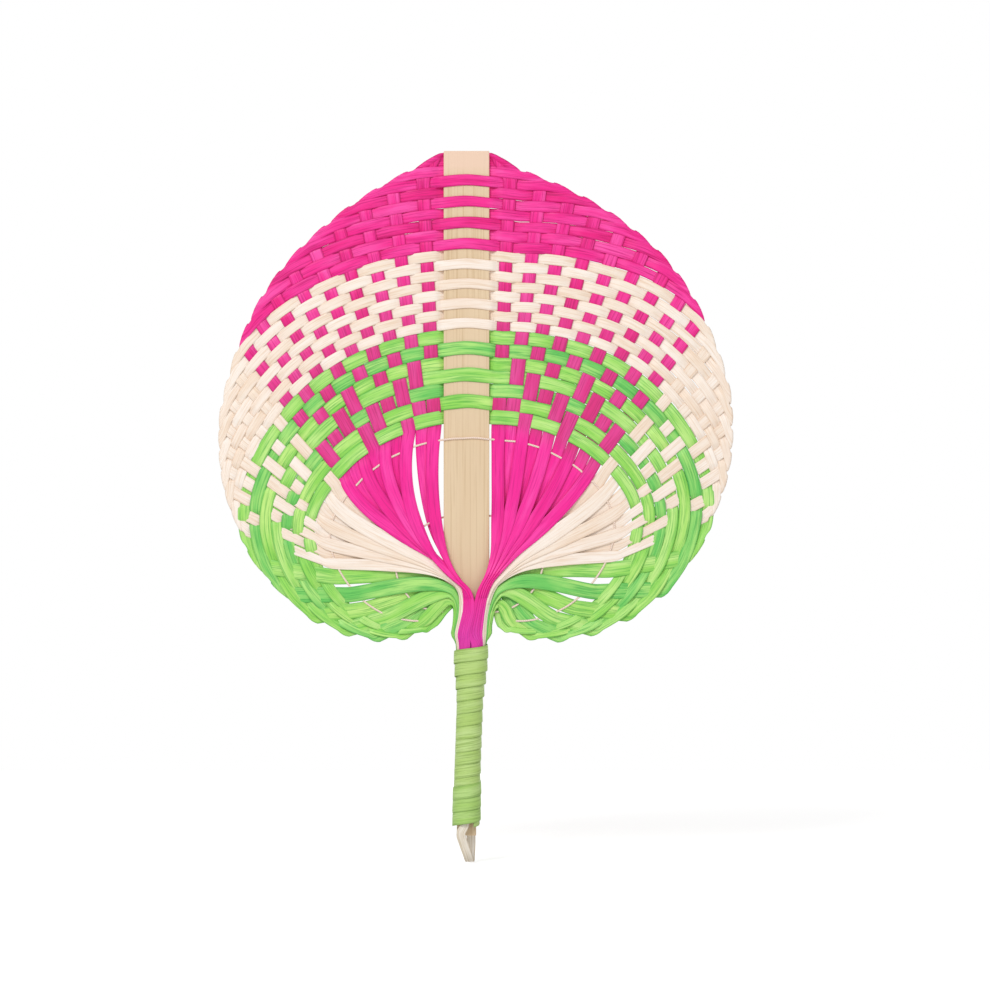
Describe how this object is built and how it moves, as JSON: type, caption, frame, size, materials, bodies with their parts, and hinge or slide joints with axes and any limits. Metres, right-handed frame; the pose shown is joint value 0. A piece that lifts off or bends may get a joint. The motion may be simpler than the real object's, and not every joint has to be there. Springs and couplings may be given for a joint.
{
  "type": "hand fan",
  "caption": "Rigid heart-shaped hand fan woven from coloured bamboo strips across a flat slat, with a wound grip and a hanging loop.",
  "frame": {"origin": "middle of the wound grip, half way along its length, in the middle plane of the slat", "axes": "+Z from the grip to the tip of the slat, -Y out of the front of the blade, +X to the right as the front is seen"},
  "size_m": [0.221, 0.0136, 0.3021],
  "materials": {
    "slat": "planed bamboo, matt",
    "pink_strip": "split bamboo dyed pink, satin",
    "cream_strip": "split bamboo, undyed, satin",
    "green_strip": "split bamboo dyed green, satin",
    "wrap": "split bamboo dyed yellow-green, satin",
    "loop": "split bamboo, undyed, matt",
    "thread": "fine cotton thread"
  },
  "bodies": {
    "root": {"spine": "slat", "pink_strip_1": "pink_strip", "pink_strip_2": "pink_strip", "pink_strip_3": "pink_strip", "pink_strip_4": "pink_strip", "pink_strip_5": "pink_strip", "pink_strip_6": "pink_strip", "pink_strip_7": "pink_strip", "pink_strip_8": "pink_strip", "pink_strip_9": "pink_strip", "cream_strip_1": "cream_strip", "cream_strip_2": "cream_strip", "cream_strip_3": "cream_strip", "cream_strip_4": "cream_strip", "cream_strip_5": "cream_strip", "cream_strip_6": "cream_strip", "cream_strip_7": "cream_strip", "cream_strip_8": "cream_strip", "green_strip_1": "green_strip", "green_strip_2": "green_strip", "green_strip_3": "green_strip", "green_strip_4": "green_strip", "green_strip_5": "green_strip", "green_strip_6": "green_strip", "green_strip_7": "green_strip", "binding_thread_outer": "thread", "binding_thread_inner": "thread", "grip_wrap": "wrap", "grip_wrap_end": "wrap", "hang_loop": "loop"}
  },
  "joints": []
}
